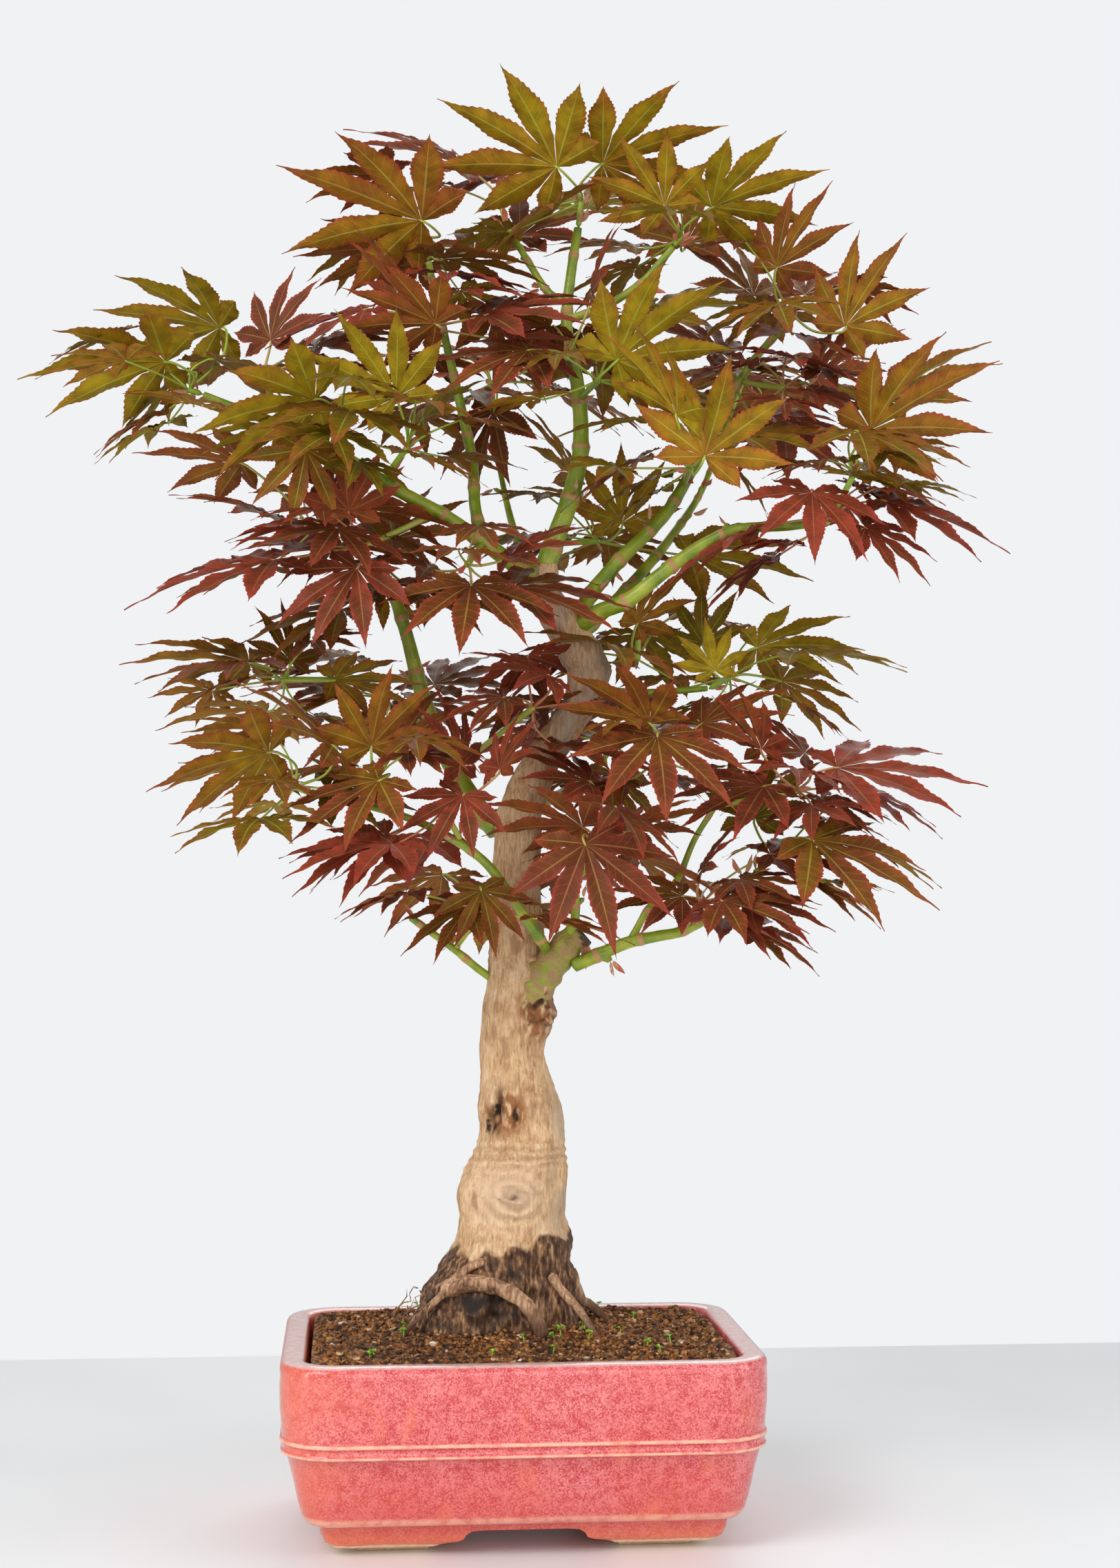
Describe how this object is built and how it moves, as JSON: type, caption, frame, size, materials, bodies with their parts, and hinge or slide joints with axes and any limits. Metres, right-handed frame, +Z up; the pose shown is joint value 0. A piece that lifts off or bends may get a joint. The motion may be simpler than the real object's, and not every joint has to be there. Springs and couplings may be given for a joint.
{
  "type": "bonsai tree in a pot",
  "caption": "Potted maple bonsai: a tapering trunk, slender green stems and sprays of pointed-lobed leaves, growing from soil in a footed rectangular glazed pot.",
  "frame": {"origin": "middle of the whole object's box in plan, in the plane that the pot's feet stand on", "axes": "+Z up along the tree; +X to the right along the pot's long side; the front faces -Y"},
  "size_m": [0.462, 0.3153, 0.6841],
  "materials": {
    "glaze": "glossy mottled pink-red glaze",
    "screen": "black plastic mesh",
    "soil": "loose granular soil",
    "bark": "cream-tan bark with fine upright fissures",
    "stem": "smooth green young bark",
    "leaf": "satin bronze-red and olive leaf"
  },
  "bodies": {
    "root": {"pot": "glaze", "drain_screen_left": "screen", "drain_screen_right": "screen", "soil": "soil", "trunk": "bark", "leader": "stem", "leader_left": "stem", "leader_right": "stem", "left_limb": "stem", "left_upright": "stem", "right_limb_low": "stem", "right_limb_mid": "stem", "right_limb_back": "stem", "rear_limb": "stem", "left_back_stem": "stem", "low_left_branch": "stem", "low_left_stub": "stem", "low_right_branch": "stem", "low_right_twig": "stem", "low_centre_twig": "stem", "low_rear_branch": "stem", "right_mid_twig": "stem", "shoot_top": "leaf", "shoot_top_right": "leaf", "shoot_top_left": "leaf", "shoot_upper_left": "leaf", "shoot_left_crown": "leaf", "shoot_crown_front": "leaf", "shoot_far_left": "leaf", "shoot_left_mid": "leaf", "shoot_left_front": "leaf", "shoot_left_inner": "leaf", "shoot_crown_olive": "leaf", "shoot_right_front": "leaf", "shoot_right_far": "leaf", "shoot_right_upper": "leaf", "shoot_right_inner": "leaf", "shoot_right_red": "leaf", "shoot_left_dark": "leaf", "shoot_left_narrow": "leaf", "shoot_centre_brown": "leaf", "shoot_centre_red": "leaf", "shoot_low_front": "leaf", "shoot_mid_front": "leaf", "shoot_low_right_red": "leaf", "shoot_low_right_olive": "leaf", "shoot_low_right_small": "leaf", "shoot_low_left": "leaf", "shoot_low_left_inner": "leaf", "shoot_low_centre_red": "leaf", "shoot_low_centre_dark": "leaf", "shoot_left_slim": "leaf", "shoot_left_back": "leaf", "shoot_right_slim": "leaf", "shoot_right_dark": "leaf", "shoot_back_mid": "leaf", "shoot_rear_top": "leaf", "shoot_rear_right": "leaf", "shoot_rear_low": "leaf", "shoot_rear_left": "leaf"}
  },
  "joints": []
}
